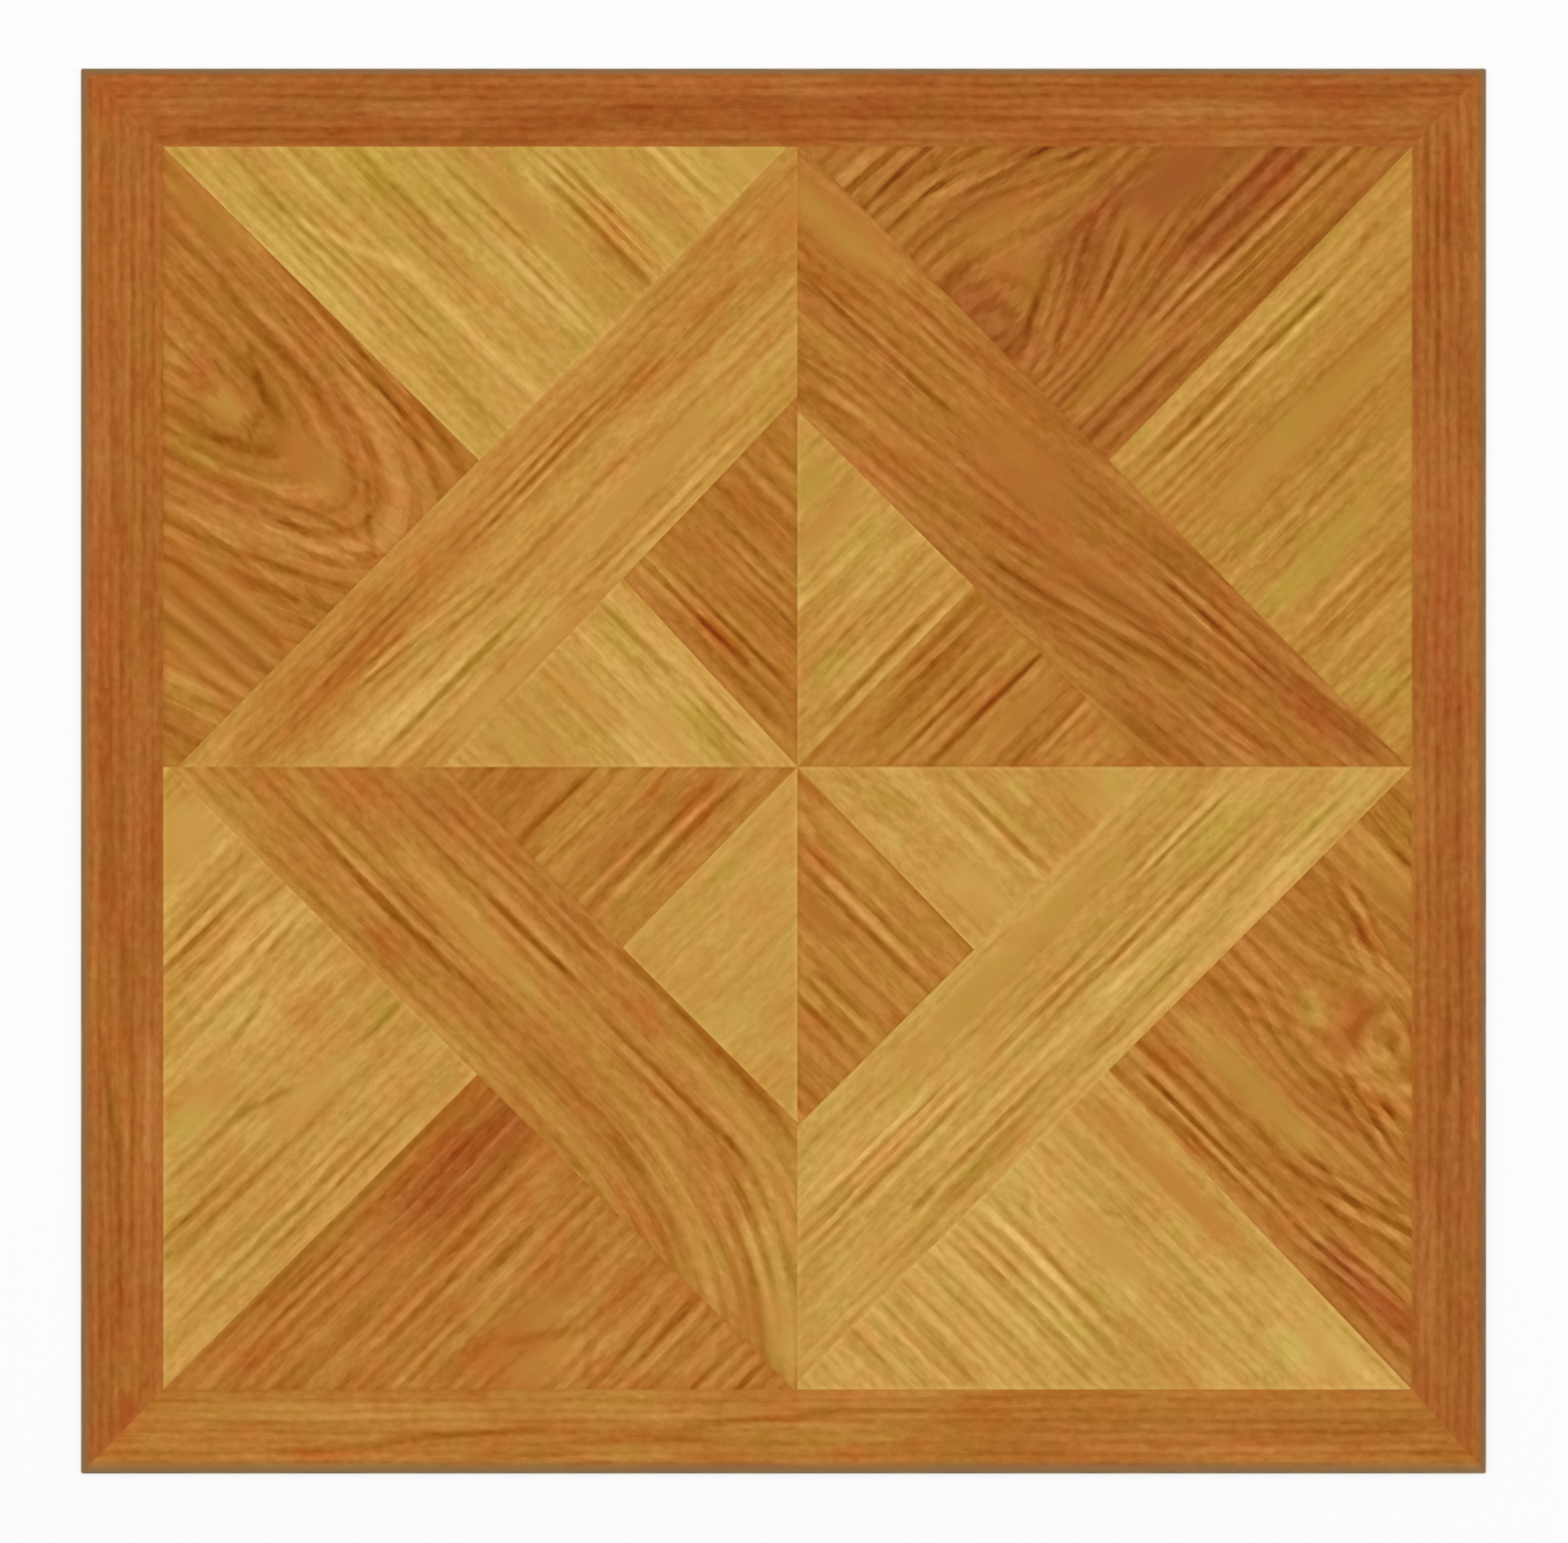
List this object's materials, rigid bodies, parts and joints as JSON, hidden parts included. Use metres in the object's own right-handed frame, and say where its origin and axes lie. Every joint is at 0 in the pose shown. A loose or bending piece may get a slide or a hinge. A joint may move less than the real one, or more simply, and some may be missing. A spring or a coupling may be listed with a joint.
{
  "type": "vinyl floor tile",
  "caption": "Square floor tile of thin solid vinyl sheet with a parquet print on its face, glued down flat and laid edge to edge with its neighbours.",
  "frame": {"origin": "middle of the back, on the floor that the tile lies on", "axes": "+Z out of the printed face; X and Y along the tile's sides, with +Y towards the top of the picture and +X towards its right"},
  "size_m": [0.3048, 0.3048, 0.0012],
  "materials": {
    "printed_vinyl": "satin clear wear layer over a printed parquet film"
  },
  "bodies": {
    "root": {"vinyl_tile": "printed_vinyl"}
  },
  "joints": []
}
